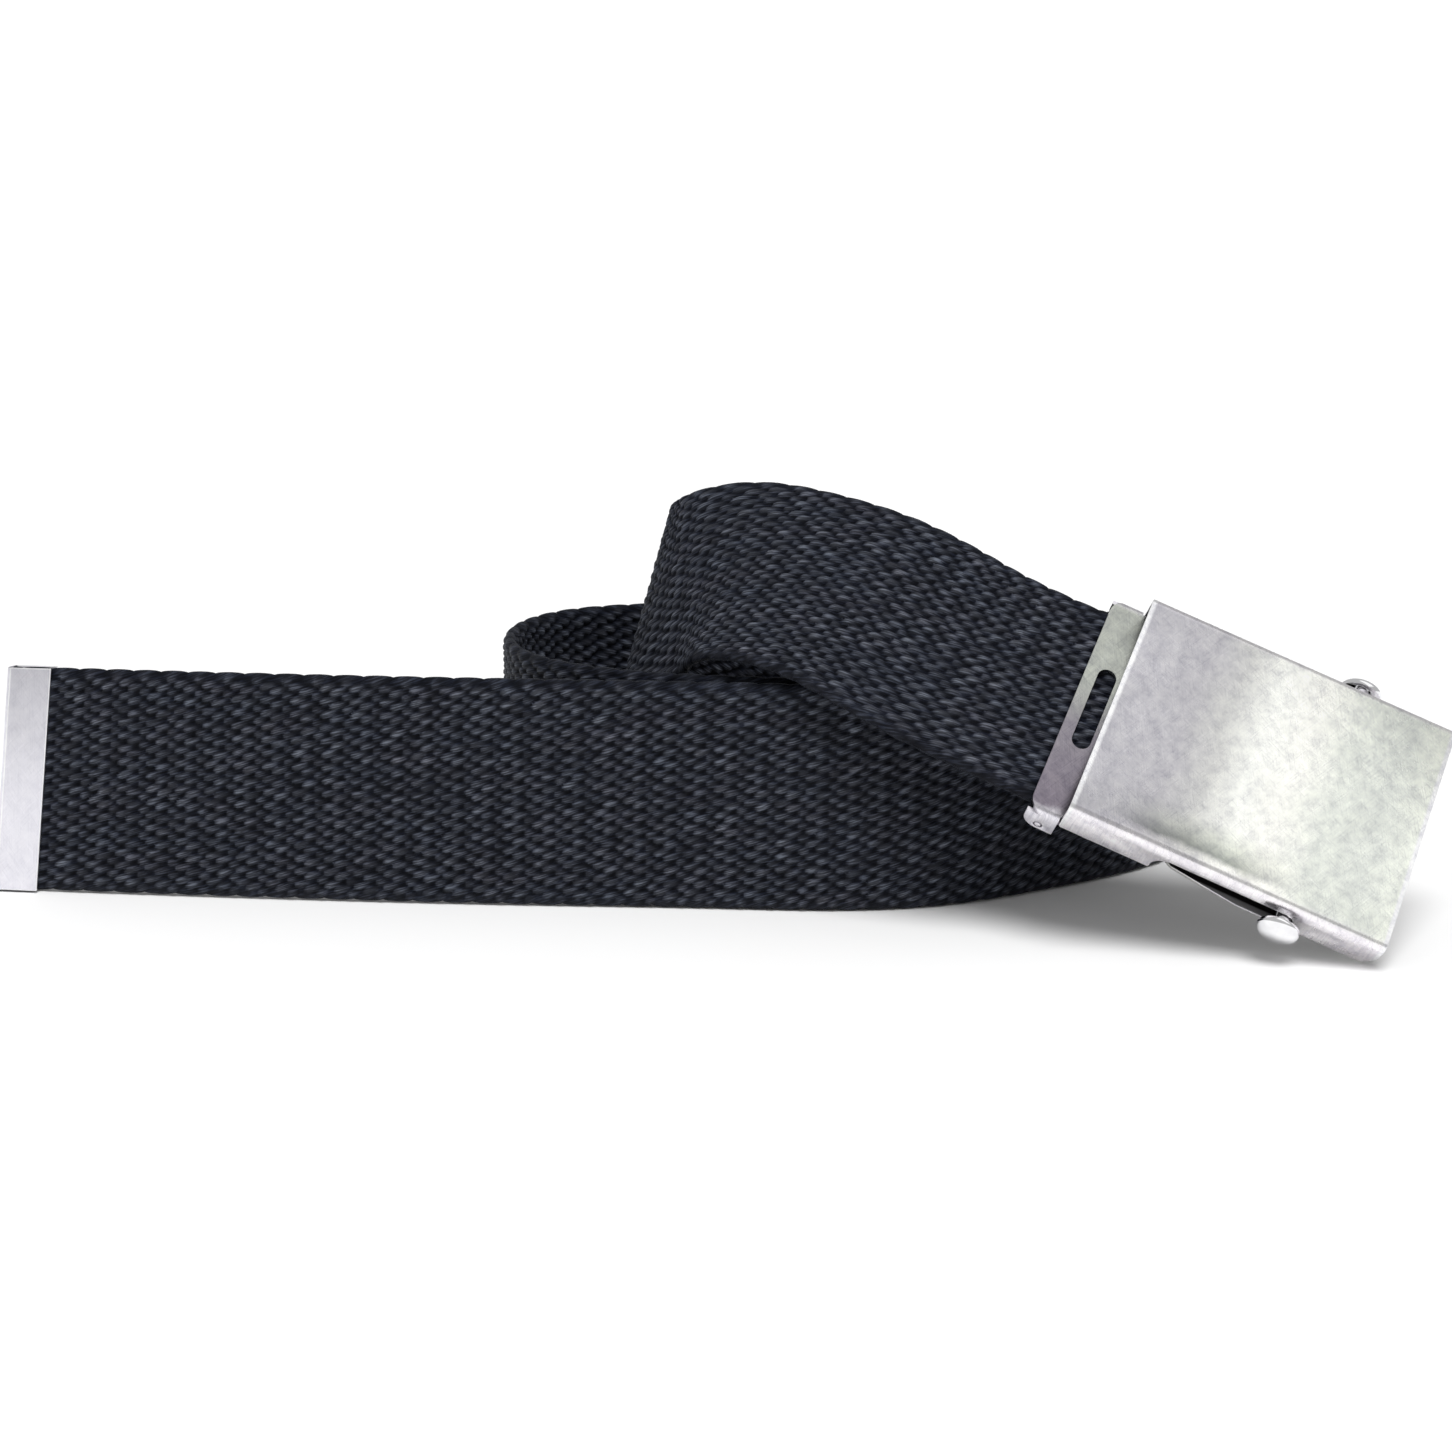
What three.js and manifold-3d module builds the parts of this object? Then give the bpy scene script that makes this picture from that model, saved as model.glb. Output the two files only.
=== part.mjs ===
// A canvas web belt with a slide-bar box buckle, lying in a loose double coil.
// Millimetres, +Z up, +X along the free end towards the buckle, +Y to the back.
import * as THREE from 'three';
import { mergeVertices } from 'three/addons/utils/BufferGeometryUtils.js';
import Module from 'manifold-3d';

const wasm = await Module();
wasm.setup();

// Driving dimensions: webbing
const WEB_WIDTH = 38;
const WEB_THICK = 2.2;
const WEB_EDGE = 0.45;        // rounding of the selvedges
const WEB_INSIDE = 17;        // how far the web runs into the buckle
const LAYER_GAP = 0.35;       // air between two turns that lie against each other
const SECTION_STEP = 4;       // spacing of the web's sections

// Driving dimensions: the coil it lies in
const COIL_LENGTH = 122;
const COIL_DEPTH = 69;
const TAIL_LENGTH = 83;       // free end that stands out past the coil

// Driving dimensions: metal end tip
const TIP_LENGTH = 7.7;
const TIP_INSET = 0.2;        // web edge left bare on each side of the tip
const TIP_SHEET = 0.5;
const TIP_SLANT = 6;          // degrees, the tip is crimped a little askew
const PINCHED_THICK = 1.6;    // web squeezed inside the tip
const SLANT_FADE = 30;        // length over which the web straightens again

// Driving dimensions: buckle
const SHEET = 0.7;
const FIT_GAP = 0.3;
const COVER_LENGTH = 52;
const COVER_DEPTH = 6.9;
const BEND_RADIUS = 1.2;
const CORNER_RADIUS = 4;      // rounded back corners of the cover's far end
const MOUTH_RADIUS = 1;       // the same corners at the web's end
const FLANGE_WIDTH = 4;       // return flange along the back of each wall
const DEEP_WALL = 15;         // full-depth stretch of wall at the web's end
const STEP_RADIUS = 3;        // curved step up from the deep wall
const SLOT_TOP = 2.7;         // depth of the slot's upper edge below the cover's face
const FINGER_START = 16.5;    // where the return flange begins, from the web's end
const FINGER_TAPER = [        // plan of its narrowed end: how far on, how much is off the side
  [0, 2.6], [1.8, 1.5], [6, 1], [13, 0],
];
const BAR_FROM_END = 36.5;    // lock bar at rest, from the web's end
const BAR_RADIUS = 1.9;
const NECK_RADIUS = 1.4;
const KNOB_RADIUS = 3.45;
const KNOB_THICK = 2;
const KNOB_STAND = 1.4;       // bare neck between the wall and the knob
const FRAME_SINK = 4.8;       // slotted frame's face below the cover's face
const FRAME_SHOW = 5.5;       // frame that shows beyond the cover
const FRAME_LENGTH = 20.2;
const FRAME_CORNER = 2.6;
const EAR_DEPTH = 5.2;
const WINDOW_LENGTH = 15.5;
const WINDOW_WIDTH = 3.1;
const WINDOW_INSET = 2.1;     // frame's edge to the window
const JAW_LENGTH = 9;
const JAW_INSET = 2.6;        // frame's edge to the jaw's pivot
const PIVOT_RADIUS = 0.5;
const FRAME_BEND = 1;
const TOOTH_PITCH = 1.9;
const TOOTH_DEPTH = 0.6;
const LEAD_IN = 0.8;          // straight web before it meets the frame
const BAR_CHAMFER = 0.4;

// Sizes that follow from the ones above
const FRAME_HALF = WEB_WIDTH / 2 + FIT_GAP + SHEET;
const COVER_HALF = FRAME_HALF + FIT_GAP + SHEET;
const SLOT_BOTTOM = COVER_DEPTH - SHEET;
const SLOT_MIDDLE = (SLOT_TOP + SLOT_BOTTOM) / 2;
const SLOT_HEIGHT = SLOT_BOTTOM - SLOT_TOP;
const COVER_LEFT = -COVER_LENGTH / 2;
const BAR_X = COVER_LEFT + BAR_FROM_END;
const FRAME_LEFT = COVER_LEFT - FRAME_SHOW;
const WEB_SINK = FRAME_SINK + SHEET + FIT_GAP + WEB_THICK / 2;
const WEB_BACK = WEB_SINK + WEB_THICK / 2;
const PIVOT_X = FRAME_LEFT + JAW_INSET;
const PIVOT_SINK = WEB_BACK + FIT_GAP + PIVOT_RADIUS;
const RADIANS = Math.PI / 180;
const PAST = 1;               // how far a cutter runs past the face it cuts

// The web's way from the free end to the buckle, by the middle of its width. Plan places are
// shares of TAIL_LENGTH (tail), COIL_LENGTH (along) and COIL_DEPTH (across), pushed back by as
// many web thicknesses as lie in front (layer). The middle's height is a share of WEB_WIDTH
// (height), raised by as many thicknesses as it lies on (over). The top leans back by lean degrees.
const ROUTE = [
  // free end across the front, standing on its edge
  { tail: 1.0, along: 0.0, across: 0.182, lean: 4 },
  { tail: 0.5, along: 0.0, across: 0.11, lean: 3 },
  { along: 0.06, across: 0.047, lean: 2 },
  { along: 0.3, across: 0.017, lean: 1 },
  { along: 0.5, across: 0.0 },
  // outer turn on the right, behind the buckle
  { along: 0.61, across: 0.04 },
  { along: 0.74, across: 0.155 },
  { along: 0.91, across: 0.37 },
  { along: 0.985, across: 0.61 },
  { along: 0.92, across: 0.83 },
  // outer back run
  { along: 0.76, across: 0.955 },
  { along: 0.5, across: 0.995 },
  { along: 0.2, across: 0.99 },
  // outer turn on the left
  { along: 0.07, across: 0.905 },
  { along: 0.007, across: 0.74 },
  { along: 0.0, across: 0.52 },
  { along: 0.05, across: 0.315 },
  { along: 0.165, across: 0.163 },
  // inner front run, against the free end
  { along: 0.31, across: 0.052, layer: 1 },
  { along: 0.5, across: 0.028, layer: 1 },
  { along: 0.62, across: 0.08, layer: 1 },
  // inner turn on the right
  { along: 0.77, across: 0.245, layer: 1 },
  { along: 0.865, across: 0.45, layer: 1 },
  { along: 0.85, across: 0.66, layer: 1, height: 0.52 },
  { along: 0.72, across: 0.8, layer: 1, height: 0.6 },
  // inner back run, climbing
  { along: 0.5, across: 0.85, layer: 1, height: 0.74, lean: 4 },
  { along: 0.34, across: 0.815, layer: 1, height: 0.91, lean: 7 },
  // raised turn on the left, leaning back more and more
  { along: 0.235, across: 0.71, layer: 1, height: 1.03, lean: 9 },
  { along: 0.198, across: 0.56, layer: 1, height: 1.12, lean: 15 },
  { along: 0.222, across: 0.425, layer: 1, height: 1.215, lean: 27 },
  { along: 0.282, across: 0.325, layer: 1, height: 1.28, over: 1, lean: 39.5 },
  // over the two front runs and down to the buckle
  { along: 0.36, across: 0.213, layer: 1, height: 1.33, over: 1, lean: 50 },
  { along: 0.48, across: 0.073, layer: 1, height: 1.264, over: 1, lean: 52 },
  { along: 0.599, across: -0.03, layer: 1, height: 1.087, over: 1, lean: 47.5 },
  { along: 0.747, across: -0.092, layer: 1, height: 0.877, over: 1, lean: 44.7 },
];

const steel = (name, color, roughness) =>
  new THREE.MeshStandardMaterial({ name, color, roughness, metalness: 1 });
const canvas = new THREE.MeshStandardMaterial({
  name: 'black canvas webbing', color: 0x23242b, roughness: 0.9, metalness: 0,
});
const nickel = steel('antique nickel', 0xb4b3b0, 0.35);
const satin = steel('satin tip', 0xc6c6ca, 0.4);
const chrome = steel('bright knobs', 0xd9dadc, 0.12);

// Closed solid from a geometry, for cutting and joining
function toSolid(geometry) {
  const plain = geometry.index ? geometry.toNonIndexed() : geometry.clone();
  plain.deleteAttribute('normal');
  plain.deleteAttribute('uv');
  const merged = mergeVertices(plain, 1e-4);
  return new wasm.Manifold(new wasm.Mesh({
    numProp: 3,
    vertProperties: new Float32Array(merged.attributes.position.array),
    triVerts: new Uint32Array(merged.index.array),
  }));
}

function toGeometry(solid) {
  const mesh = solid.getMesh();
  const geometry = new THREE.BufferGeometry();
  geometry.setAttribute('position', new THREE.BufferAttribute(mesh.vertProperties, 3));
  geometry.setIndex(new THREE.BufferAttribute(mesh.triVerts, 1));
  return geometry;
}

function toMesh(name, geometry, material) {
  const mesh = new THREE.Mesh(geometry, material);
  mesh.name = name;
  return mesh;
}

function block(x0, x1, y0, y1, z0, z1) {
  const geometry = new THREE.BoxGeometry(x1 - x0, y1 - y0, z1 - z0);
  return toSolid(geometry.translate((x0 + x1) / 2, (y0 + y1) / 2, (z0 + z1) / 2));
}

// Extrusion centred on its middle plane
function extrude(shape, length) {
  const options = { depth: length, bevelEnabled: false, curveSegments: 6 };
  return new THREE.ExtrudeGeometry(shape, options).translate(0, 0, -length / 2);
}

// Outline drawn as (y, z), run along X
function alongX(shape, x0, x1) {
  const turn = new THREE.Matrix4().makeBasis(
    new THREE.Vector3(0, 1, 0), new THREE.Vector3(0, 0, 1), new THREE.Vector3(1, 0, 0));
  const geometry = extrude(shape, x1 - x0).applyMatrix4(turn);
  return toSolid(geometry.translate((x0 + x1) / 2, 0, 0));
}

// Outline drawn as (x, z), run along Y
function acrossY(shape, width) {
  return toSolid(extrude(shape, width).rotateX(Math.PI / 2));
}

// Outline drawn as (x, y), run along Z
function throughZ(shape, z0, z1) {
  return toSolid(extrude(shape, z1 - z0).translate(0, 0, (z0 + z1) / 2));
}

function polygon(points) {
  return new THREE.Shape(points.map(([a, b]) => new THREE.Vector2(a, b)));
}

// Material outside a rounded corner at (x, z); sx and sz point out of the part
function cornerWaste(x, z, sx, sz, radius) {
  const cx = x - sx * radius;
  const cz = z - sz * radius;
  const points = [[x + sx, cz], [x + sx, z + sz], [cx, z + sz]];
  for (let i = 0; i <= 6; i += 1) {
    const angle = (i / 6) * Math.PI / 2;
    points.push([cx + sx * radius * Math.sin(angle), cz + sz * radius * Math.cos(angle)]);
  }
  return polygon(sx * sz < 0 ? points : points.reverse());
}

// Half of a bent channel section, mirrored to a closed outline around the middle
function channelSection(half, top, legDepth, flange, bend) {
  const outer = [];
  const inner = [];
  const innerBend = bend - SHEET;
  for (let i = 0; i <= 4; i += 1) {
    const angle = (i / 4) * Math.PI / 2;
    const s = Math.sin(angle);
    const c = Math.cos(angle);
    outer.push([half - bend + bend * s, top - bend + bend * c]);
    inner.push([half - bend + innerBend * s, top - bend + innerBend * c]);
  }
  const bottom = top - legDepth;
  if (flange > 0) {
    outer.push([half, bottom + SHEET / 2], [half - SHEET / 2, bottom], [half - flange, bottom]);
    inner.push([half - SHEET, bottom + SHEET], [half - flange, bottom + SHEET]);
  } else {
    outer.push([half, bottom]);
    inner.push([half - SHEET, bottom]);
  }
  const right = [...outer, ...inner.reverse()];
  const left = right.map(([y, z]) => [-y, z]).reverse();
  return polygon([...right, ...left]);
}

// Knots of the web's route, from the table's shares
function routeKnots() {
  return ROUTE.map(({ tail = 0, along, across, layer = 0, height = 0.5, over = 0, lean = 0 }) => ({
    x: along * COIL_LENGTH - tail * TAIL_LENGTH,
    y: across * COIL_DEPTH + layer * (WEB_THICK + LAYER_GAP),
    z: height * WEB_WIDTH + over * WEB_THICK,
    lean,
  }));
}

// Slopes of a natural cubic spline through the values at the knots
function splineSlopes(values, spans) {
  const last = values.length - 1;
  const rise = spans.map((span, i) => (values[i + 1] - values[i]) / span);
  const rows = values.map((value, i) => {
    if (i === 0) return { lower: 0, middle: 2, upper: 1, right: 3 * rise[0] };
    if (i === last) return { lower: 1, middle: 2, upper: 0, right: 3 * rise[last - 1] };
    const [before, after] = [spans[i - 1], spans[i]];
    return {
      lower: after,
      middle: 2 * (before + after),
      upper: before,
      right: 3 * (after * rise[i - 1] + before * rise[i]),
    };
  });
  for (let i = 1; i <= last; i += 1) {
    const factor = rows[i].lower / rows[i - 1].middle;
    rows[i].middle -= factor * rows[i - 1].upper;
    rows[i].right -= factor * rows[i - 1].right;
  }
  const slopes = [];
  for (let i = last; i >= 0; i -= 1) {
    const later = i < last ? rows[i].upper * slopes[i + 1] : 0;
    slopes[i] = (rows[i].right - later) / rows[i].middle;
  }
  return slopes;
}

// Value and rate of change at share t of one span
function splineAt(values, slopes, spans, i, t) {
  const [p, q] = [values[i], values[i + 1]];
  const [m, n] = [slopes[i] * spans[i], slopes[i + 1] * spans[i]];
  const [t2, t3] = [t * t, t * t * t];
  const value = (2 * t3 - 3 * t2 + 1) * p + (t3 - 2 * t2 + t) * m
    + (3 * t2 - 2 * t3) * q + (t3 - t2) * n;
  const rate = (6 * t2 - 6 * t) * (p - q) + (3 * t2 - 4 * t + 1) * m + (3 * t2 - 2 * t) * n;
  return [value, rate / spans[i]];
}

function routeStations() {
  const knots = routeKnots();
  const last = knots.length - 1;
  const spans = knots.slice(1).map((knot, i) =>
    Math.hypot(knot.x - knots[i].x, knot.y - knots[i].y, knot.z - knots[i].z));
  const tracks = ['x', 'y', 'z', 'lean'].map((key) => {
    const values = knots.map((knot) => knot[key]);
    return { values, slopes: splineSlopes(values, spans) };
  });
  const stations = [];
  for (let i = 0; i < last; i += 1) {
    const steps = Math.max(2, Math.round(spans[i] / SECTION_STEP));
    const count = i === last - 1 ? steps + 1 : steps;
    for (let k = 0; k < count; k += 1) {
      const [x, y, z, lean] = tracks.map(({ values, slopes }) =>
        splineAt(values, slopes, spans, i, k / steps));
      const centre = new THREE.Vector3(x[0], y[0], z[0]);
      const direction = new THREE.Vector3(x[1], y[1], z[1]);
      stations.push(frameAt(centre, direction, lean[0]));
    }
  }
  return stations;
}

// Directions of the web at one place: forward, up across its width, and out of its face
function frameAt(centre, direction, lean) {
  const forward = direction.clone().normalize();
  const inward = new THREE.Vector3(0, 0, 1).cross(forward).normalize();
  const upright = forward.clone().cross(inward);
  const across = upright.multiplyScalar(Math.cos(lean * RADIANS))
    .addScaledVector(inward, Math.sin(lean * RADIANS));
  const face = forward.clone().cross(across);
  return { centre, forward, across, face };
}

function webSections(stations) {
  const sections = [];
  let run = 0;
  stations.forEach((station, i) => {
    if (i > 0) run += station.centre.distanceTo(stations[i - 1].centre);
    const pinch = THREE.MathUtils.clamp((run - TIP_LENGTH) / (2 * WEB_THICK), 0, 1);
    const slant = 1 - THREE.MathUtils.clamp((run - TIP_LENGTH) / SLANT_FADE, 0, 1);
    sections.push({
      ...station,
      thick: THREE.MathUtils.lerp(PINCHED_THICK, WEB_THICK, pinch),
      slant: Math.tan(TIP_SLANT * RADIANS) * slant,
    });
  });
  const end = stations[stations.length - 1];
  sections.push({
    ...end,
    centre: end.centre.clone().addScaledVector(end.forward, LEAD_IN + WEB_INSIDE),
    thick: WEB_THICK,
    slant: 0,
  });
  const first = sections[0];
  const tipStart = TIP_SHEET + FIT_GAP;
  sections[0] = {
    ...first, centre: first.centre.clone().addScaledVector(first.forward, tipStart),
  };
  return sections;
}

// Solid web: one eight-sided section for each station, joined by quads and closed by two caps
function webbing(stations) {
  const sections = webSections(stations);
  const positions = [];
  for (const { centre, forward, across, face, thick, slant } of sections) {
    const half = WEB_WIDTH / 2;
    const h = thick / 2;
    const ring = [
      [-half, h - WEB_EDGE], [-half, WEB_EDGE - h], [WEB_EDGE - half, -h], [half - WEB_EDGE, -h],
      [half, WEB_EDGE - h], [half, h - WEB_EDGE], [half - WEB_EDGE, h], [WEB_EDGE - half, h],
    ];
    for (const [a, f] of ring) {
      const p = centre.clone().addScaledVector(across, a).addScaledVector(face, f)
        .addScaledVector(forward, a * slant);
      positions.push(p.x, p.y, p.z);
    }
  }
  const index = [];
  const sides = 8;
  for (let i = 0; i < sections.length - 1; i += 1) {
    for (let k = 0; k < sides; k += 1) {
      const a = i * sides + k;
      const b = i * sides + ((k + 1) % sides);
      index.push(a, b, a + sides, b, b + sides, a + sides);
    }
  }
  const endRing = (sections.length - 1) * sides;
  for (let k = 1; k < sides - 1; k += 1) {
    index.push(0, k + 1, k);
    index.push(endRing, endRing + k, endRing + k + 1);
  }
  const geometry = new THREE.BufferGeometry();
  geometry.setAttribute('position', new THREE.Float32BufferAttribute(positions, 3));
  geometry.setIndex(index);
  return geometry;
}

// Folded sheet over the web's end, drawn as (forward, face) and run across the web
function endTip() {
  const half = PINCHED_THICK / 2 + FIT_GAP + TIP_SHEET;
  const inner = half - TIP_SHEET;
  const round = half * 0.5;
  const section = polygon([
    [round, -half], [TIP_LENGTH, -half], [TIP_LENGTH, -inner], [TIP_SHEET, -inner],
    [TIP_SHEET, inner], [TIP_LENGTH, inner], [TIP_LENGTH, half], [round, half],
    [0, half - round], [0, round - half],
  ]);
  const geometry = extrude(section, WEB_WIDTH - 2 * TIP_INSET);
  const shear = new THREE.Matrix4().set(
    1, 0, Math.tan(TIP_SLANT * RADIANS), 0, 0, 1, 0, 0, 0, 0, 1, 0, 0, 0, 0, 1);
  return toGeometry(toSolid(geometry.applyMatrix4(shear)));
}

function placeTip(mesh, station) {
  const basis = new THREE.Matrix4().makeBasis(
    station.forward, station.face.clone().negate(), station.across);
  mesh.setRotationFromMatrix(basis);
  mesh.position.copy(station.centre);
}

// Cover: front plate, two side walls and return flanges, bent from one sheet
function buckleCover() {
  const x1 = COVER_LENGTH / 2;
  const stepX = COVER_LEFT + DEEP_WALL;
  const fingerX = COVER_LEFT + FINGER_START;
  const below = -COVER_DEPTH - PAST;
  const section = channelSection(COVER_HALF, 0, COVER_DEPTH, FLANGE_WIDTH, BEND_RADIUS);
  let cover = alongX(section, COVER_LEFT, x1);
  const inside = COVER_HALF - SHEET;
  cover = cover.subtract(
    block(COVER_LEFT - PAST, fingerX, -inside, inside, below, -SLOT_BOTTOM + SHEET / 2));
  const slot = new THREE.Shape();
  slot.moveTo(stepX, below);
  slot.lineTo(fingerX, below);
  slot.lineTo(fingerX, -SLOT_BOTTOM);
  slot.lineTo(BAR_X, -SLOT_BOTTOM);
  slot.absarc(BAR_X, -SLOT_MIDDLE, SLOT_HEIGHT / 2, -Math.PI / 2, Math.PI / 2, false);
  slot.lineTo(stepX + STEP_RADIUS, -SLOT_TOP);
  slot.absarc(stepX + STEP_RADIUS, -SLOT_TOP - STEP_RADIUS, STEP_RADIUS,
    Math.PI / 2, Math.PI, false);
  cover = cover.subtract(acrossY(slot, 2 * (COVER_HALF + PAST)));
  const outline = FINGER_TAPER.map(([on, off]) => [fingerX + on, COVER_HALF - off]);
  const taper = [...outline, [outline.at(-1)[0], COVER_HALF + PAST], [fingerX, COVER_HALF + PAST]];
  const nearTaper = taper.map(([x, y]) => [x, -y]).reverse();
  for (const plan of [taper, nearTaper]) {
    cover = cover.subtract(throughZ(polygon(plan), below, -SLOT_MIDDLE));
  }
  for (const [x, sx, radius] of [[COVER_LEFT, -1, MOUTH_RADIUS], [x1, 1, CORNER_RADIUS]]) {
    const waste = cornerWaste(x, -COVER_DEPTH, sx, -1, radius);
    cover = cover.subtract(acrossY(waste, 2 * (COVER_HALF + PAST)));
  }
  return toGeometry(cover);
}

// Slotted frame with an ear on each side, bent from one sheet
function innerFrame() {
  const top = -FRAME_SINK;
  const x1 = FRAME_LEFT + FRAME_LENGTH;
  const earEnd = COVER_LEFT - FIT_GAP;
  const section = channelSection(COVER_HALF, top, EAR_DEPTH, 0, FRAME_BEND);
  let frame = alongX(section, FRAME_LEFT, earEnd);
  frame = frame.add(
    block(earEnd - FRAME_SHOW / 2, x1, -FRAME_HALF, FRAME_HALF, top - SHEET, top));
  const underBend = top - FRAME_BEND;
  const side = COVER_HALF + PAST;
  const earWaste = cornerWaste(FRAME_LEFT, top - EAR_DEPTH, -1, -1, FRAME_CORNER);
  frame = frame.subtract(acrossY(earWaste, 2 * side));
  for (const sign of [-1, 1]) {
    const plan = cornerWaste(FRAME_LEFT, sign * COVER_HALF, -1, sign, FRAME_CORNER);
    frame = frame.subtract(throughZ(plan, underBend, top + PAST));
  }
  const window = new THREE.Shape();
  const r = WINDOW_WIDTH / 2;
  const windowX = FRAME_LEFT + WINDOW_INSET + r;
  const run = WINDOW_LENGTH / 2 - r;
  window.moveTo(windowX + r, -run);
  window.lineTo(windowX + r, run);
  window.absarc(windowX, run, r, 0, Math.PI, false);
  window.lineTo(windowX - r, -run);
  window.absarc(windowX, -run, r, Math.PI, 2 * Math.PI, false);
  frame = frame.subtract(throughZ(window, top - SHEET - PAST, top + PAST));
  const hole = new THREE.Shape();
  hole.absarc(PIVOT_X, -PIVOT_SINK, PIVOT_RADIUS + FIT_GAP, 0, 2 * Math.PI, false);
  frame = frame.subtract(acrossY(hole, 2 * side));
  return toGeometry(frame);
}

// Toothed jaw behind the web, on two trunnions in the frame's ears; its origin is the pivot
function clampJaw() {
  const half = WEB_WIDTH / 2;
  const slopeDrop = TOOTH_DEPTH + SHEET;
  const front = PIVOT_RADIUS;
  const lipX = JAW_LENGTH - SHEET;
  const plate = polygon([
    [0, front], [-PIVOT_RADIUS, 0], [0, -PIVOT_RADIUS - SHEET / 2],
    [lipX, front - slopeDrop - SHEET], [JAW_LENGTH, front - slopeDrop],
    [JAW_LENGTH, front], [lipX, front], [lipX, front - slopeDrop],
  ]);
  let jaw = acrossY(plate, 2 * half);
  const trunnion = new THREE.CylinderGeometry(PIVOT_RADIUS, PIVOT_RADIUS, 2 * COVER_HALF, 12);
  jaw = jaw.add(toSolid(trunnion));
  const teeth = Math.floor((2 * half) / TOOTH_PITCH);
  const notch = polygon([
    [-TOOTH_PITCH / 2, front + PAST / 10], [0, front - TOOTH_DEPTH],
    [TOOTH_PITCH / 2, front + PAST / 10],
  ]);
  for (let i = 0; i < teeth; i += 1) {
    const y = (i - (teeth - 1) / 2) * TOOTH_PITCH;
    jaw = jaw.subtract(alongX(notch, lipX - PAST, JAW_LENGTH + PAST).translate([0, y, 0]));
  }
  return toGeometry(jaw);
}

// Lock bar with a domed knob at each end, turned about the Y axis
function lockBar() {
  const seat = COVER_HALF + KNOB_STAND;
  const barEnd = COVER_HALF - FLANGE_WIDTH - FIT_GAP;
  const chamfer = BAR_CHAMFER;
  const profile = [
    [0, 0], [BAR_RADIUS, 0], [BAR_RADIUS, barEnd - chamfer], [BAR_RADIUS - chamfer, barEnd],
    [NECK_RADIUS, barEnd], [NECK_RADIUS, seat], [KNOB_RADIUS - chamfer, seat],
    [KNOB_RADIUS, seat + chamfer],
  ];
  for (let i = 1; i <= 5; i += 1) {
    const angle = (i / 5) * Math.PI / 2;
    const rise = (KNOB_THICK - chamfer) * Math.sin(angle);
    profile.push([i === 5 ? 0 : KNOB_RADIUS * Math.cos(angle), seat + chamfer + rise]);
  }
  const points = profile.map(([r, y]) => new THREE.Vector2(r, y));
  const half = toSolid(new THREE.LatheGeometry(points, 20));
  return toGeometry(half.add(half.rotate([180, 0, 0])));
}

function buckle(station) {
  const group = new THREE.Group();
  group.add(toMesh('buckle_cover', buckleCover(), nickel));
  group.add(toMesh('inner_frame', innerFrame(), nickel));
  const jaw = toMesh('clamp_jaw', clampJaw(), nickel);
  jaw.position.set(PIVOT_X, 0, -PIVOT_SINK);
  group.add(jaw);
  const bar = toMesh('lock_bar', lockBar(), chrome);
  bar.position.set(BAR_X, 0, -SLOT_MIDDLE);
  group.add(bar);
  const { forward, across, face, centre } = station;
  group.setRotationFromMatrix(new THREE.Matrix4().makeBasis(forward, across, face));
  group.position.copy(centre)
    .addScaledVector(forward, LEAD_IN - FRAME_LEFT)
    .addScaledVector(face, WEB_SINK);
  return group;
}

// Whole belt, moved so that the middle of its footprint is the origin
function belt() {
  const stations = routeStations();
  const parts = new THREE.Group();
  parts.add(toMesh('webbing', webbing(stations), canvas));
  const tip = toMesh('end_tip', endTip(), satin);
  placeTip(tip, stations[0]);
  parts.add(tip);
  parts.add(buckle(stations[stations.length - 1]));
  parts.updateMatrixWorld(true);
  const box = new THREE.Box3().setFromObject(parts, true);
  const middle = box.getCenter(new THREE.Vector3());
  parts.position.set(-middle.x, -middle.y, -box.min.z);
  const group = new THREE.Group();
  group.add(parts);
  return group;
}

export default belt();
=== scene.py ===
"""Looks of a black canvas web belt that lies in a loose double coil on a white table."""

import math

import bpy
import numpy as np
from mathutils import Matrix, Vector


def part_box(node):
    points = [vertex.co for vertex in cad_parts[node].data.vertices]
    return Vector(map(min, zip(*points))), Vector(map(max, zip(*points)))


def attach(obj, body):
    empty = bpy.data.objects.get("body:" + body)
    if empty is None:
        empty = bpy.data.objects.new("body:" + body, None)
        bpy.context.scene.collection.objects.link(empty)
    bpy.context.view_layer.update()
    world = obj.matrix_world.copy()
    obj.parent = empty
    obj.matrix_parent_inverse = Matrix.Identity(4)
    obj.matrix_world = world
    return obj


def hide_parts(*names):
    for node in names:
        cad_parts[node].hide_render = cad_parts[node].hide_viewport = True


MM = 0.001

# The web and its way, in millimetres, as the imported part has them
WEB_WIDTH = 38.0
WEB_THICK = 2.2
WEB_EDGE = 0.45
WEB_INSIDE = 17.0
LAYER_GAP = 0.35
COIL_LENGTH = 122.0
COIL_DEPTH = 69.0
TAIL_LENGTH = 83.0
TIP_LENGTH = 7.7
TIP_START = 0.8
TIP_SLANT = 6.0
PINCHED_THICK = 1.6
SLANT_FADE = 30.0
LEAD_IN = 0.8

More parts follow.
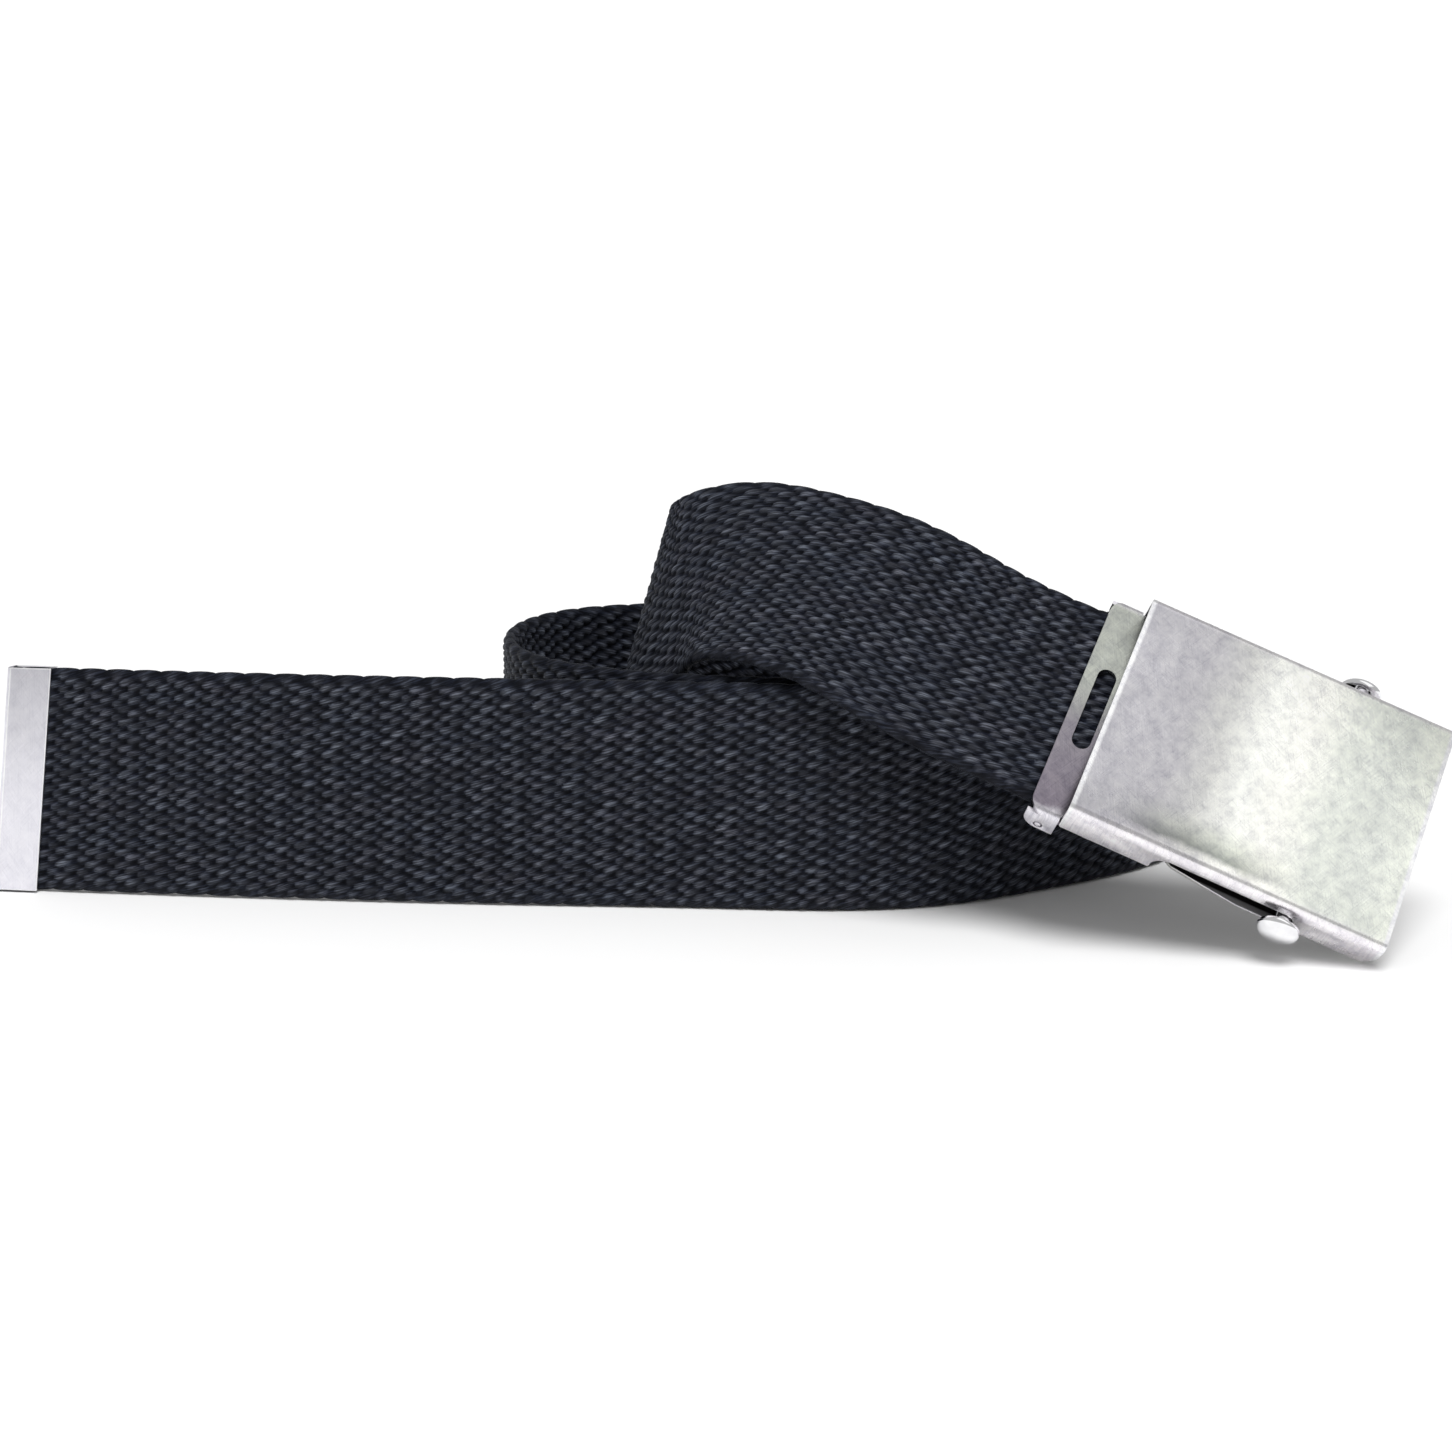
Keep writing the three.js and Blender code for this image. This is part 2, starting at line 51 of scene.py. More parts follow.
ROUTE = [
    # free end across the front, standing on its edge
    dict(tail=1.0, along=0.0, across=0.182, lean=4),
    dict(tail=0.5, along=0.0, across=0.11, lean=3),
    dict(along=0.06, across=0.047, lean=2),
    dict(along=0.3, across=0.017, lean=1),
    dict(along=0.5, across=0.0),
    # outer turn on the right, behind the buckle
    dict(along=0.61, across=0.04),
    dict(along=0.74, across=0.155),
    dict(along=0.91, across=0.37),
    dict(along=0.985, across=0.61),
    dict(along=0.92, across=0.83),
    # outer back run
    dict(along=0.76, across=0.955),
    dict(along=0.5, across=0.995),
    dict(along=0.2, across=0.99),
    # outer turn on the left
    dict(along=0.07, across=0.905),
    dict(along=0.007, across=0.74),
    dict(along=0.0, across=0.52),
    dict(along=0.05, across=0.315),
    dict(along=0.165, across=0.163),
    # inner front run, against the free end
    dict(along=0.31, across=0.052, layer=1),
    dict(along=0.5, across=0.028, layer=1),
    dict(along=0.62, across=0.08, layer=1),
    # inner turn on the right
    dict(along=0.77, across=0.245, layer=1),
    dict(along=0.865, across=0.45, layer=1),
    dict(along=0.85, across=0.66, layer=1, height=0.52),
    dict(along=0.72, across=0.8, layer=1, height=0.6),
    # inner back run, climbing
    dict(along=0.5, across=0.85, layer=1, height=0.74, lean=4),
    dict(along=0.34, across=0.815, layer=1, height=0.91, lean=7),
    # raised turn on the left, leaning back more and more
    dict(along=0.235, across=0.71, layer=1, height=1.03, lean=9),
    dict(along=0.198, across=0.56, layer=1, height=1.12, lean=15),
    dict(along=0.222, across=0.425, layer=1, height=1.215, lean=27),
    dict(along=0.282, across=0.325, layer=1, height=1.28, over=1, lean=39.5),
    # over the two front runs and down to the buckle
    dict(along=0.36, across=0.213, layer=1, height=1.33, over=1, lean=50),
    dict(along=0.48, across=0.073, layer=1, height=1.264, over=1, lean=52),
    dict(along=0.599, across=-0.03, layer=1, height=1.087, over=1, lean=47.5),
    dict(along=0.747, across=-0.092, layer=1, height=0.877, over=1, lean=44.7),
]

# The weave, in millimetres: crowns of yarn in slanting columns, and cord-like selvedges
COLUMN = 1.65            # one column of crowns to the next, along the web
ROW = 2.2                # one crown to the next within a column, across the web
REPEAT = 3 * COLUMN      # the weave repeats after three columns
FACE_ROWS = 16
STATIONS_A_COLUMN = 4    # rings of points in a column
SAMPLES_A_ROW = 7        # points of a ring in a row
FACE_HALF = FACE_ROWS * ROW / 2
GROUND = 0.68            # half thickness of the web between the crowns
SELVEDGE_OUT = 0.98      # selvedge's reach past the face, without its loops
SELVEDGE_ANGLES = (15.0, 45.0, 75.0)
LOOP_RISE = 0.3          # of the loops of thread round the selvedges
LAST_CROWN = 0.5         # how far past the face's edge a crown's middle may lie
WEB_PIECES = 5
# The three crowns of a repeat: half length, half width, rise, and tilt in degrees
CROWNS = [
    dict(half_length=1.15, half_width=0.75, rise=0.46, tilt=13.0),
    dict(half_length=1.66, half_width=0.73, rise=0.54, tilt=16.0),
    dict(half_length=1.66, half_width=0.73, rise=0.54, tilt=16.0),
]
PLUNGE = 0.36            # how much lower a crown is at its end than at its start
NARROWING = 0.24         # and how much narrower
CROWN_TOP = 0.62         # rise at which the painted shade between the crowns ends and the canvas is palest
CHANCES = (1024, 64)     # made-up values for that many columns and rows, then over again

# The buckle, in millimetres, in its own frame: x forward, y across, z out of its face
COVER_LENGTH = 52.0
COVER_DEPTH = 6.9
SHEET = 0.7
FIT_GAP = 0.3
FRAME_SHOW = 5.5
FRAME_SINK = 4.8
SLOT_TOP = 2.7
BAR_FROM_END = 36.5
BAR_RADIUS = 1.9
NECK_RADIUS = 1.4
KNOB_RADIUS = 3.45
KNOB_THICK = 2.0
KNOB_STAND = 1.4
KNOB_LIP = 0.55
BAR_CHAMFER = 0.4
FLANGE_WIDTH = 4.0

COVER_HALF = WEB_WIDTH / 2 + 2 * (FIT_GAP + SHEET)
BAR_X = BAR_FROM_END - COVER_LENGTH / 2
BAR_SINK = (SLOT_TOP + COVER_DEPTH - SHEET) / 2
WEB_SINK = FRAME_SINK + SHEET + FIT_GAP + WEB_THICK / 2

YARN_TILT = 15.0         # degrees; fibres run up along each crown
SCRATCH_ANGLES = (28.0, 65.0, 118.0)
SHARP_ANGLE = 35.0       # degrees; sheet edges sharper than this are rounded off
END_FACE = 0.9           # a face that points this much along the cover is one of its ends
AHEAD = 0.6              # how far in front of a face its surroundings are looked at
BRIGHT, DARK = 1, 2      # material places of the painted highlight on edges and ends and of the painted shade in the hollow

# How the plated pieces look. Colours along and across the buckle are multiplied, the second only where
# the third list is white;
# places run from 0 at its left end or near side to 1. On the cover the colours along it are a painted
# reflection. The other values are the walls' colour, the strength of a painted highlight at the ends
# (rim), and how much there is of each kind of wear.
WHITE = (1.0, 1.0, 1.0)
BLACK = (0.0, 0.0, 0.0)
COVER_LOOKS = dict(
    # painted reflection: violet grey to the left, a bright band in the middle, greenish grey to the
    # right
    along=[
        (0.0, (0.58, 0.57, 0.60)),
        (0.22, (0.53, 0.52, 0.54)),
        (0.34, (0.64, 0.64, 0.62)),
        (0.46, (0.98, 0.99, 0.93)),
        (0.58, (1.0, 1.0, 0.93)),
        (0.72, (0.82, 0.85, 0.78)),
        (0.88, (0.78, 0.81, 0.75)),
        (1.0, (0.95, 0.98, 0.88)),
    ],
    across=[
        (0.0, (1.0, 1.0, 1.0)),
        (0.04, (0.98, 0.97, 0.97)),
        (0.065, (0.42, 0.44, 0.42)),
        (0.12, (0.78, 0.80, 0.76)),
        (0.2, (1.0, 1.0, 1.0)),
    ],
    across_where=[
        (0.1, (0.1, 0.1, 0.1)),
        (0.26, (0.9, 0.9, 0.9)),
        (0.5, (1.0, 1.0, 1.0)),
        (0.7, (0.1, 0.1, 0.1)),
    ],
    # rim: strength of a painted highlight along the cover's two end edges
    walls=(0.92, 0.89, 0.91), rim=1.0, wander=0.16, mottle=0.95, scratches=0.8, roughness=0.26,
)
FRAME_LOOKS = dict(
    along=[(0.0, WHITE), (1.0, WHITE)],
    across=[
        (0.0, (0.82, 0.80, 0.84)),
        (0.05, (0.26, 0.23, 0.27)),
        (0.4, (0.30, 0.28, 0.31)),
        (0.6, (0.50, 0.52, 0.47)),
        (1.0, (0.52, 0.54, 0.49)),
    ],
    across_where=[(0.0, WHITE), (1.0, WHITE)],
    walls=(0.80, 0.78, 0.82), rim=0.0, wander=0.36, mottle=1.0, scratches=1.0, roughness=0.3,
)
TIP_LOOKS = dict(
    along=[(0.0, (0.80, 0.79, 0.84)), (1.0, (0.80, 0.79, 0.84))],
    across=[(0.0, WHITE), (1.0, WHITE)],
    across_where=[(0.0, BLACK), (1.0, BLACK)],
    walls=(0.80, 0.79, 0.84), rim=0.0, wander=0.2, mottle=0.35, scratches=0.35, roughness=0.34,
)

# The photograph's camera, in millimetres in the route's own frame
CAMERA_PLACE = (37.4, -389.7, 126.0)
CAMERA_DOWN = 13.71
PHOTO_SIDE = 1452
FOCAL_PIXELS = 2500
SENSOR = 36.0
ROOM_LIGHT = 0.5
SKY_LIGHT = 2.4


# The web's way

def spline_slopes(values, spans):
    """Slopes of a natural cubic spline through the values at the knots."""
    last = len(spans)
    rise = np.diff(values) / spans
    matrix = np.zeros((last + 1, last + 1))
    right = np.empty(last + 1)
    matrix[0, :2] = 2, 1
    right[0] = 3 * rise[0]
    matrix[last, -2:] = 1, 2
    right[last] = 3 * rise[-1]
    for i in range(1, last):
        before, after = spans[i - 1], spans[i]
        matrix[i, i - 1 : i + 2] = after, 2 * (before + after), before
        right[i] = 3 * (after * rise[i - 1] + before * rise[i])
    return np.linalg.solve(matrix, right)


def route_knots():
    """Middle of the web's width at each row of the route, and its lean."""
    knots = []
    for row in ROUTE:
        x = row["along"] * COIL_LENGTH - row.get("tail", 0) * TAIL_LENGTH
        y = row["across"] * COIL_DEPTH + row.get("layer", 0) * (WEB_THICK + LAYER_GAP)
        z = row.get("height", 0.5) * WEB_WIDTH + row.get("over", 0) * WEB_THICK
        knots.append((x, y, z, row.get("lean", 0)))
    return np.array(knots, float)


def along_route(knots, slopes, spans, place):
    """Values and rates of change at places counted in knots, such as 2.5."""
    i = np.clip(place.astype(int), 0, len(spans) - 1)
    t = (place - i)[:, None]
    span = spans[i][:, None]
    p, q = knots[i], knots[i + 1]
    m, n = slopes[i] * span, slopes[i + 1] * span
    value = (2 * t**3 - 3 * t**2 + 1) * p + (t**3 - 2 * t**2 + t) * m
    value += (3 * t**2 - 2 * t**3) * q + (t**3 - t**2) * n
    rate = (6 * t**2 - 6 * t) * (p - q) + (3 * t**2 - 4 * t + 1) * m + (3 * t**2 - 2 * t) * n
    return value, rate / span


def unit(vectors):
    return vectors / np.linalg.norm(vectors, axis=-1, keepdims=True)


def web_stations():
    """Frames of the web at even steps of its length, as far as its end in the buckle."""
    knots = route_knots()
    spans = np.linalg.norm(np.diff(knots[:, :3], axis=0), axis=1)
    slopes = np.stack([spline_slopes(knots[:, c], spans) for c in range(4)], axis=1)
    fine = np.linspace(0, len(spans), 80 * len(spans) + 1)
    places = along_route(knots, slopes, spans, fine)[0][:, :3]
    run = np.concatenate([[0], np.cumsum(np.linalg.norm(np.diff(places, axis=0), axis=1))])
    total = run[-1] + LEAD_IN + WEB_INSIDE
    length = np.arange(TIP_START, total, COLUMN / STATIONS_A_COLUMN)
    on_route = np.interp(length, run, fine)
    value, rate = along_route(knots, slopes, spans, on_route)
    forward = unit(rate[:, :3])
    inward = unit(np.cross((0.0, 0.0, 1.0), forward))
    upright = np.cross(forward, inward)
    lean = np.radians(value[:, 3:])
    across = np.cos(lean) * upright + np.sin(lean) * inward
    straight = np.maximum(length - run[-1], 0)[:, None]
    return {
        "length": length,
        "centre": value[:, :3] + straight * forward,
        "forward": forward,
        "across": across,
        "face": np.cross(forward, across),
        "route_end": run[-1],
    }


def web_thickness(length):
    """Share of the web's full thickness, squeezed inside the tip, and how far it slants."""
    pinch = np.clip((length - TIP_LENGTH) / (2 * WEB_THICK), 0, 1)
    share = (PINCHED_THICK + (WEB_THICK - PINCHED_THICK) * pinch) / WEB_THICK
    fade = 1 - np.clip((length - TIP_LENGTH) / SLANT_FADE, 0, 1)
    return share, math.tan(math.radians(TIP_SLANT)) * fade


def plain_corners(stations):
    """Corners of the plain solid web's sections, to find where the part has been moved to."""
    share, slant = web_thickness(stations["length"])
    half, thick = WEB_WIDTH / 2, WEB_THICK / 2
    sections = []
    for a, f in ((half, thick - WEB_EDGE), (half - WEB_EDGE, thick)):
        for side in (-1, 1):
            for face in (-1, 1):
                depth = (thick * share - (thick - f)) * face
                along = slant[:, None] * stations["forward"]
                sections.append(
                    stations["centre"] + side * a * (stations["across"] + along)
                    + depth[:, None] * stations["face"]
                )
    return np.concatenate(sections)


# The weave

def half_ring():
    """One side of the web's section: places across, depth, and outward direction."""
    samples = FACE_ROWS * SAMPLES_A_ROW
    angles = np.radians(SELVEDGE_ANGLES)
    edge = np.stack([SELVEDGE_OUT * np.cos(angles), GROUND * np.sin(angles)], axis=1)
    out = unit(np.stack([np.cos(angles) / SELVEDGE_OUT, np.sin(angles) / GROUND], axis=1))
    face = np.linspace(-FACE_HALF, FACE_HALF, samples + 1)
    points = np.concatenate([
        np.stack([-FACE_HALF - edge[:, 0], edge[:, 1]], axis=1),
        np.stack([face, np.full_like(face, GROUND)], axis=1),
        np.stack([FACE_HALF + edge[::-1, 0], edge[::-1, 1]], axis=1),
    ])
    flat = np.tile((0.0, 1.0), (len(face), 1))
    normals = np.concatenate([out * (-1, 1), flat, out[::-1]])
    return points, normals


def dome(distance):
    """Height share of a rounded crown at a squared distance from its middle."""
    return np.sqrt(np.clip(1 - distance, 0, 1))


def crown_relief(length, across, seed):
    """Rise of the yarn crowns on one face, and a lightness for each yarn, part chance and part a
    painted highlight that is brightest at the start of each crown.
    """
    rise = np.zeros((len(length), len(across)))
    tone_and_highlight = np.full_like(rise, 0.5)
    first = np.round(length / COLUMN)
    chance = np.random.default_rng(seed).random(CHANCES)
    wander = np.random.default_rng(seed + 1).normal(0, 1, CHANCES)
    for step in (-2, -1, 0, 1, 2):
        column = (first + step).astype(int)
        kind = column % 3
        crowns = [CROWNS[k] for k in kind]
        half_length, half_width, top, tilt = (
            np.array([c[key] for c in crowns])[:, None]
            for key in ("half_length", "half_width", "rise", "tilt")
        )
        drop = (column * ROW / 3)[:, None]
        for side in (-1, 0, 1):
            row = np.round((across[None, :] + drop) / ROW).astype(int) + side
            middle = row * ROW - drop
            pick = (column[:, None] % CHANCES[0], row % CHANCES[1])
            shift = wander[pick]
            dx = (length - column * COLUMN)[:, None] - 0.07 * shift
            dy = across[None, :] - middle - 0.04 * shift
            turn = np.radians(tilt + 3 * shift)
            u = dx * np.cos(turn) + dy * np.sin(turn)
            v = dy * np.cos(turn) - dx * np.sin(turn)
            end = np.clip(u / half_length, -1, 1)
            slim = half_width * (1 - NARROWING * end)
            h = top * dome((u / half_length) ** 2 + (v / slim) ** 2)
            h *= (1 + 0.07 * shift) * (1 - PLUNGE * end)
            h[np.abs(middle) > FACE_HALF + LAST_CROWN] = 0
            higher = h > rise
            rise = np.where(higher, h, rise)
            # a yarn's lightness: part chance, part a painted highlight brightest at the crown's start
            # and fading towards its end
            tone_and_highlight = np.where(higher, 0.55 * chance[pick] + 0.45 * (0.5 - 0.5 * end), tone_and_highlight)
    return rise, tone_and_highlight


def loop_relief(length, around, seed):
    """Rise of the weft loops round a selvedge; around is the distance from its middle."""
    chance = np.random.default_rng(seed).random(CHANCES[0])
    nearest = np.round(length / REPEAT)
    rise = np.zeros((len(length), len(around)))
    tone_and_highlight = np.full_like(rise, 0.5)
    for step in (-1, 0, 1):
        loop = (nearest + step).astype(int)
        dx = (length - loop * REPEAT)[:, None] + 0.45 * around[None, :]
        h = LOOP_RISE * dome((dx / 2.5) ** 2 + (around[None, :] / 1.75) ** 2)
        higher = h > rise
        rise = np.where(higher, h, rise)
        tone_and_highlight = np.where(higher, chance[loop % CHANCES[0]][:, None], tone_and_highlight)
    return rise, tone_and_highlight


def side_relief(length, points, seed):
    """Relief over one side of the web: crowns on the face, loops round both selvedges."""
    rise, tone_and_highlight = crown_relief(length, points[:, 0], seed)
    reach = GROUND * np.pi / 2
    for sign in (-1, 1):
        past = sign * points[:, 0] - FACE_HALF
        around = np.where(past > 0, reach * (1 - np.clip(past / SELVEDGE_OUT, 0, 1)), reach - past)
        loop, loop_tone = loop_relief(length + (0 if sign > 0 else REPEAT / 2), around, seed + 5 + sign)
        higher = loop > rise
        rise = np.where(higher, loop, rise)
        tone_and_highlight = np.where(higher, loop_tone, tone_and_highlight)
    return rise, tone_and_highlight


def web_surface(stations):
    """Points, normals, relief, yarn lightness with its painted highlight, and place of the whole woven
    surface, ring by ring.
    """
    length = stations["length"]
    share, slant = web_thickness(length)
    points, normals = half_ring()
    rings = []
    for side, seed in ((1, 11), (-1, 23)):
        rise, tone_and_highlight = side_relief(length, points, seed)
        section = points[None] + normals[None] * rise[..., None]
        a, f = section[..., 0], section[..., 1] * share[:, None] * side
        place = (
            stations["centre"][:, None]
            + a[..., None] * (stations["across"] + slant[:, None] * stations["forward"])[:, None]
            + f[..., None] * stations["face"][:, None]
        )
        flat = np.broadcast_to(points[None, :, 0], rise.shape)
        lengths = np.broadcast_to(length[:, None], rise.shape)
        web_place = np.stack([lengths, flat, np.full_like(rise, side * WEB_WIDTH)], axis=-1)
        fields = [place, rise[..., None], tone_and_highlight[..., None], web_place]
        rings.append(np.concatenate(fields, axis=-1))
    whole = np.concatenate([rings[0], rings[1][:, ::-1]], axis=1)
    place = whole[..., :3]
    around = np.roll(place, -1, axis=1) - np.roll(place, 1, axis=1)
    return {
        "place": place,
        "normal": unit(np.cross(np.gradient(place, axis=0), around)),
        "crown": whole[..., 3] / CROWN_TOP,
        "tone_and_highlight": whole[..., 4],
        "web_place": whole[..., 5:8] * MM,
    }


def web_piece(name, surface, first, last, shift):
    """One closed length of the web as a mesh object, in metres in the part's frame."""
    place = (surface["place"][first : last + 1] + shift) * MM
    count, ring = place.shape[:2]
    index = np.arange(count * ring).reshape(count, ring)
    after = np.roll(index, -1, axis=1)
    sides = np.stack([index[:-1], index[1:], after[1:], after[:-1]], axis=-1).reshape(-1, 4)
    k = np.arange(ring // 2 - 1)
    cap = np.stack([k, k + 1, ring - 2 - k, ring - 1 - k], axis=-1)
    start = index[0][cap]
    end = index[-1][cap][:, ::-1]
    faces = np.concatenate([sides, start, end])
    mesh = bpy.data.meshes.new(name)
    mesh.vertices.add(count * ring)
    mesh.vertices.foreach_set("co", place.reshape(-1).astype(np.float32))
    mesh.loops.add(faces.size)
    mesh.loops.foreach_set("vertex_index", faces.reshape(-1).astype(np.int32))
    mesh.polygons.add(len(faces))
    mesh.polygons.foreach_set("loop_start", np.arange(0, faces.size, 4, dtype=np.int32))
    mesh.update(calc_edges=True)
    mesh.polygons.foreach_set("use_smooth", np.ones(len(faces), bool))
    normals = surface["normal"][first : last + 1].reshape(-1, 3)[faces.reshape(-1)]
    caps = len(cap) * 4
    forward = unit(place[1].mean(axis=0) - place[0].mean(axis=0))
    backward = unit(place[-2].mean(axis=0) - place[-1].mean(axis=0))
    normals[-2 * caps : -caps] = -forward
    normals[-caps:] = -backward
    mesh.normals_split_custom_set(normals.astype(np.float32))
    for field, kind in (("crown", "FLOAT"), ("tone_and_highlight", "FLOAT"), ("web_place", "FLOAT_VECTOR")):
        values = surface[field][first : last + 1].reshape(-1).astype(np.float32)
        attribute = mesh.attributes.new(field, kind, "POINT")
        attribute.data.foreach_set("vector" if kind == "FLOAT_VECTOR" else "value", values)
    piece = bpy.data.objects.new(name, mesh)
    bpy.context.scene.collection.objects.link(piece)
    return piece


def make_web(stations, shift, material):
    """The woven strap in a few lengths that join ring to ring."""
    surface = web_surface(stations)
    cuts = np.linspace(0, len(stations["length"]) - 1, WEB_PIECES + 1).round().astype(int)
    pieces = []
    for number, (first, last) in enumerate(zip(cuts[:-1], cuts[1:]), start=1):
        piece = web_piece(f"woven_web_{number}", surface, first, last, shift)
        piece.data.materials.append(material)
        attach(piece, "belt")
        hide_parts("webbing")
        pieces.append(piece)
    return pieces


# Materials

def new_material(name):
    """An empty node material and its tools: add a node, join two sockets, and the shader."""
    material = bpy.data.materials.new(name)
    material.use_nodes = True
    tree = material.node_tree
    shader = tree.nodes["Principled BSDF"]

    def add(kind, **settings):
        node = tree.nodes.new(kind)
        for key, value in settings.items():
            if key in node.inputs:
                node.inputs[key].default_value = value
            else:
                setattr(node, key, value)
        return node

    return material, shader, add, tree.links.new


def colour_ramp(add, link, source, stops):
    """Colour by a value, from pairs of place and colour."""
    ramp = add("ShaderNodeValToRGB")
    elements = ramp.color_ramp.elements
    while len(elements) < len(stops):
        elements.new(0.5)
    for element, (place, colour) in zip(elements, stops):
        element.position = place
        element.color = (*colour, 1)
    link(source, ramp.inputs["Fac"])
    return ramp.outputs["Color"]


def mixed(add, link, first, second, amount=1.0, blend="MULTIPLY"):
    """Two colours mixed; amount is a number or a socket."""
    node = add("ShaderNodeMix", data_type="RGBA", blend_type=blend)
    if isinstance(amount, float):
        node.inputs["Factor"].default_value = amount
    else:
        link(amount, node.inputs["Factor"])
    link(first, node.inputs["A"])
    link(second, node.inputs["B"])
    return node.outputs["Result"]


def turned(add, link, vector, rotation, shift=(0, 0, 0)):
    """A place turned, then moved."""
    node = add("ShaderNodeMapping")
    node.inputs["Location"].default_value = shift
    node.inputs["Rotation"].default_value = rotation
    link(vector, node.inputs["Vector"])
    return node.outputs["Vector"]


def scaled(add, link, vector, scale):
    """A place with each axis stretched; uneven stretching draws a noise out into lines."""
    node = add("ShaderNodeMapping")
    node.inputs["Scale"].default_value = scale
    link(vector, node.inputs["Vector"])
    return node.outputs["Vector"]


def bump(add, link, height, distance, strength=1.0, under=None):
    """Normal roughened by a height, on top of an earlier one where given."""
    node = add("ShaderNodeBump")
    node.inputs["Distance"].default_value = distance
    node.inputs["Strength"].default_value = strength
    link(height, node.inputs["Height"])
    if under is not None:
        link(under, node.inputs["Normal"])
    return node.outputs["Normal"]


def noise(add, link, vector, scale, detail=3.0, roughness=0.5):
    """Cloudy value about 0.5."""
    node = add("ShaderNodeTexNoise", Scale=scale, Detail=detail, Roughness=roughness)
    link(vector, node.inputs["Vector"])
    return node.outputs["Fac"]


def spread(add, link, value, low, high, to_low=0.0, to_high=1.0):
    """Value mapped from one range to another, kept inside it."""
    node = add("ShaderNodeMapRange")
    node.inputs["From Min"].default_value = low
    node.inputs["From Max"].default_value = high
    node.inputs["To Min"].default_value = to_low
    node.inputs["To Max"].default_value = to_high
    link(value, node.inputs["Value"])
    return node.outputs["Result"]


def add_up(add, link, first, second, share):
    """First value plus a share of the second, which is taken about its middle."""
    node = add("ShaderNodeMath", operation="MULTIPLY_ADD")
    link(second, node.inputs[0])
    node.inputs[1].default_value = share
    lift = add("ShaderNodeMath", operation="SUBTRACT")
    link(first, lift.inputs[0])
    lift.inputs[1].default_value = share / 2
    link(lift.outputs[0], node.inputs[2])
    return node.outputs[0]


def size_of(add, link, value):
    """Value without its sign."""
    node = add("ShaderNodeMath", operation="ABSOLUTE")
    link(value, node.inputs[0])
    return node.outputs[0]


def buckle_axes(add, link, home):
    """Place in the buckle's own frame, in metres, and its parts along and across."""
    inside = home.inverted()
    place = add("ShaderNodeTexCoord").outputs["Object"]
    local = turned(add, link, place, tuple(inside.to_euler()), inside.translation)
    split = add("ShaderNodeSeparateXYZ")
    link(local, split.inputs["Vector"])
    return local, split.outputs["X"], split.outputs["Y"]


def canvas_material():
    """Blue-black cotton: painted shade that darkens the ground between the crowns and leaves their tops
    greyer, each yarn its own lightness with a painted highlight at the start of each crown, fine
    fibres.
    """
    material, shader, add, link = new_material("black canvas")
    crown = add("ShaderNodeAttribute", attribute_name="crown").outputs["Fac"]
    tone_and_highlight = add("ShaderNodeAttribute", attribute_name="tone_and_highlight").outputs["Fac"]
    place = add("ShaderNodeAttribute", attribute_name="web_place").outputs["Vector"]
    # painted shade: the lower the relief, the darker the cloth, near black on the ground between the
    # crowns
    base = colour_ramp(add, link, crown, [
        (0.0, (0.0036, 0.0042, 0.0072)),
        (0.35, (0.0066, 0.0075, 0.0115)),
        (0.7, (0.026, 0.028, 0.036)),
        (1.0, (0.056, 0.060, 0.072)),
    ])
    # each yarn's own lightness, with the painted highlight at the start of each crown
    yarn = colour_ramp(add, link, tone_and_highlight, [
        (0.1, (0.76, 0.77, 0.80)),
        (0.5, (0.96, 0.97, 1.0)),
        (0.9, (1.25, 1.25, 1.25)),
    ])
    patches = noise(add, link, scaled(add, link, place, (90, 260, 260)), 1.0)
    tint = colour_ramp(add, link, patches, [
        (0.3, (0.97, 1.0, 1.03)),
        (0.5, (1.0, 1.0, 1.0)),
        (0.7, (1.05, 1.0, 1.0)),
    ])
    with_yarn = turned(add, link, place, (0, 0, math.radians(-YARN_TILT)))
    fibres = noise(add, link, scaled(add, link, with_yarn, (420, 4600, 900)), 1.0, 2.0)
    streaks = colour_ramp(add, link, fibres, [
        (0.32, (0.5, 0.5, 0.5)),
        (0.5, (0.9, 0.9, 0.9)),
        (0.63, (2.3, 2.35, 2.35)),
    ])
    colour = mixed(add, link, mixed(add, link, base, yarn), tint)
    link(mixed(add, link, colour, streaks), shader.inputs["Base Color"])
    link(bump(add, link, fibres, 0.16 * MM), shader.inputs["Normal"])
    shader.inputs["Roughness"].default_value = 0.6
    shader.inputs["Specular IOR Level"].default_value = 0.1
    shader.inputs["Sheen Weight"].default_value = 0.04
    shader.inputs["Sheen Roughness"].default_value = 0.4
    shader.inputs["Sheen Tint"].default_value = (0.75, 0.83, 1.0, 1)
    return material


